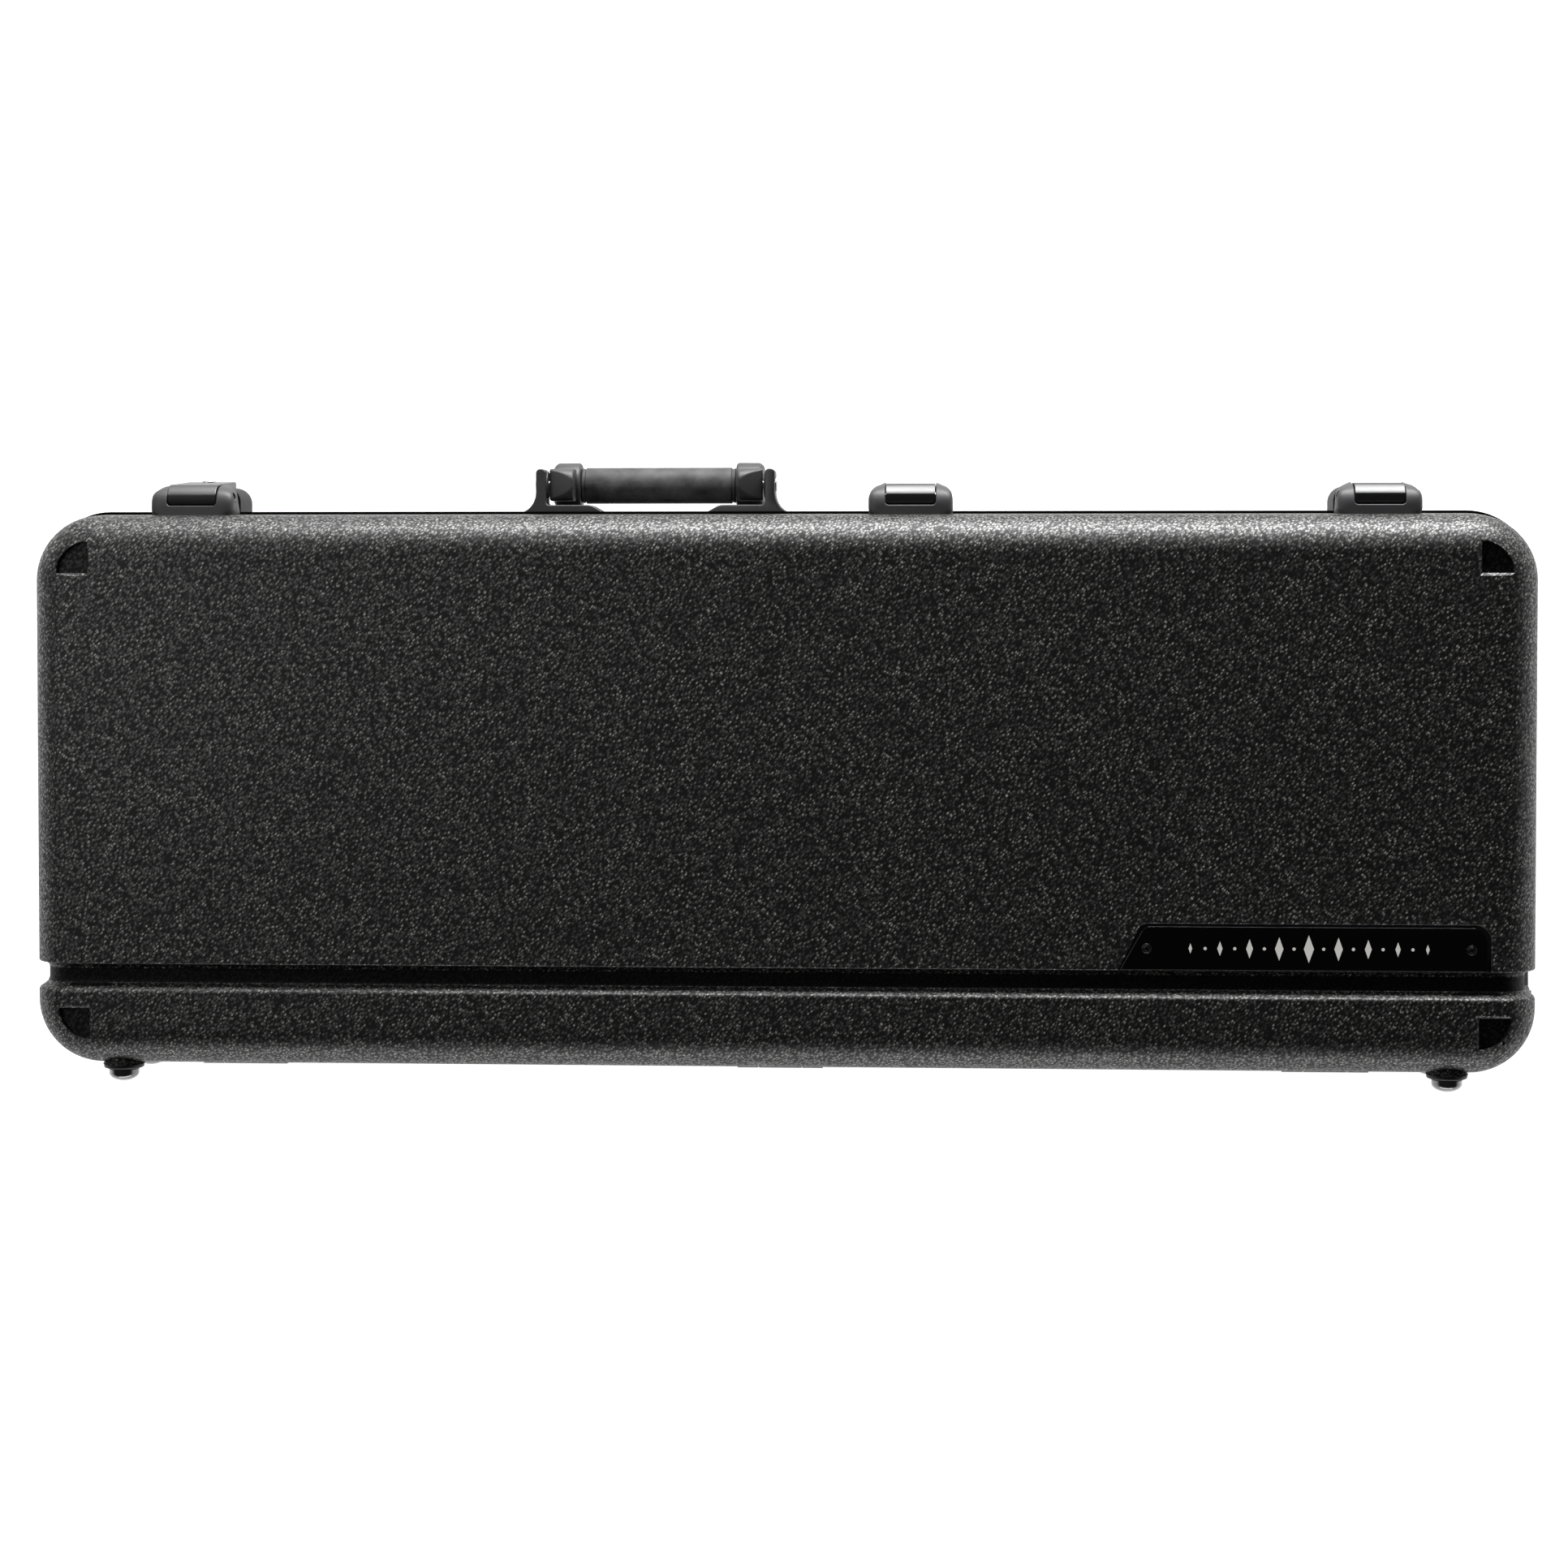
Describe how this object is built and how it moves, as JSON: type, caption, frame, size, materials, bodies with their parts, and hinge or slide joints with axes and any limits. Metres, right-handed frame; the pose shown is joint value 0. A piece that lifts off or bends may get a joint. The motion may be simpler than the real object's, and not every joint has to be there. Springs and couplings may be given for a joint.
{
  "type": "electric guitar case",
  "caption": "Oblong moulded hard case for an electric guitar, with a hinged lid, lever latches, a key lock, a folding handle, feet and a foam fitted inside.",
  "frame": {"origin": "centre of the base shell's flat bottom face, with the case lying on its back and its lid shut", "axes": "+Z out of the lid, +X towards the end that holds the guitar's body, -Y the side with the handle and the latches, +Y the hinge side with the feet"},
  "size_m": [1.04, 0.4346, 0.127],
  "materials": {
    "shell_plastic": "satin",
    "rim_plastic": "satin",
    "latch_plastic": "satin",
    "lever_plastic": "satin",
    "handle_plastic": "matte",
    "grip_rubber": "matte",
    "plate_gloss": "gloss",
    "foot_rubber": "satin",
    "lining_plush": "matte",
    "steel": "satin",
    "black_steel": "satin"
  },
  "bodies": {
    "base": {"base_shell": "shell_plastic", "base_rim": "rim_plastic", "floor_pad": "lining_plush", "body_foam": "lining_plush", "neck_foam_hinge_side": "lining_plush", "neck_foam_handle_side": "lining_plush", "neck_cradle": "lining_plush", "foot_cup_base_body_end": "rim_plastic", "foot_cup_base_neck_end": "rim_plastic", "foot_pad_base_body_end": "foot_rubber", "foot_pad_base_neck_end": "foot_rubber", "hinge_base_leaf_body_end": "black_steel", "hinge_base_leaf_middle": "black_steel", "hinge_base_leaf_neck_end": "black_steel", "hinge_pin_body_end": "steel", "hinge_pin_middle": "steel", "hinge_pin_neck_end": "steel", "handle_bracket_body_end": "handle_plastic", "handle_bracket_neck_end": "handle_plastic", "handle_backing_plate_body_end": "steel", "handle_backing_plate_neck_end": "steel", "handle_pin_body_end": "steel", "handle_pin_neck_end": "steel", "latch_keeper_body_end": "latch_plastic", "latch_keeper_middle": "latch_plastic", "latch_keeper_neck_end": "latch_plastic"},
    "lid": {"lid_shell": "shell_plastic", "lid_rim": "rim_plastic", "lid_foam": "lining_plush", "nameplate": "plate_gloss", "nameplate_screw_left": "black_steel", "nameplate_screw_right": "black_steel", "foot_cup_lid_body_end": "rim_plastic", "foot_cup_lid_neck_end": "rim_plastic", "foot_pad_lid_body_end": "foot_rubber", "foot_pad_lid_neck_end": "foot_rubber", "hinge_lid_leaf_body_end": "black_steel", "hinge_lid_leaf_middle": "black_steel", "hinge_lid_leaf_neck_end": "black_steel", "latch_housing_body_end": "latch_plastic", "latch_housing_middle": "latch_plastic", "latch_housing_neck_end": "latch_plastic", "latch_pin_body_end": "steel", "latch_pin_middle": "steel", "latch_pin_neck_end": "steel"},
    "lever_body_end": {"latch_lever_body_end": "lever_plastic", "latch_hook_body_end": "steel"},
    "lever_middle": {"latch_lever_middle": "lever_plastic", "latch_hook_middle": "steel"},
    "lever_neck_end": {"latch_lever_neck_end": "lever_plastic", "latch_hook_neck_end": "steel"},
    "lock": {"lock_cylinder": "steel"},
    "handle": {"handle_core": "steel", "handle_grip": "grip_rubber", "handle_arm_body_end": "handle_plastic", "handle_arm_neck_end": "handle_plastic"}
  },
  "joints": [
    {"name": "lid_hinge", "type": "hinge", "parent": "base", "child": "lid", "pos_m": [0, 0.1937, 0.07015], "axis": [-1, 0, 0], "range_deg": [0, 100]},
    {"name": "latch_body_end", "type": "hinge", "parent": "lid", "child": "lever_body_end", "pos_m": [0.411, -0.2045, 0.0864], "axis": [-1, 0, 0], "range_deg": [0, 100]},
    {"name": "latch_middle", "type": "hinge", "parent": "lid", "child": "lever_middle", "pos_m": [-0.0914, -0.2045, 0.0864], "axis": [-1, 0, 0], "range_deg": [0, 100]},
    {"name": "latch_neck_end", "type": "hinge", "parent": "lid", "child": "lever_neck_end", "pos_m": [-0.413, -0.2045, 0.0864], "axis": [-1, 0, 0], "range_deg": [0, 100]},
    {"name": "lock_turn", "type": "hinge", "parent": "lever_body_end", "child": "lock", "pos_m": [0.411, -0.2125, 0.042], "axis": [0, -1, 0], "range_deg": [0, 90]},
    {"name": "handle_swing", "type": "hinge", "parent": "base", "child": "handle", "pos_m": [0.0885, -0.2136, 0.054], "axis": [-1, 0, 0], "range_deg": [0, 180]}
  ]
}
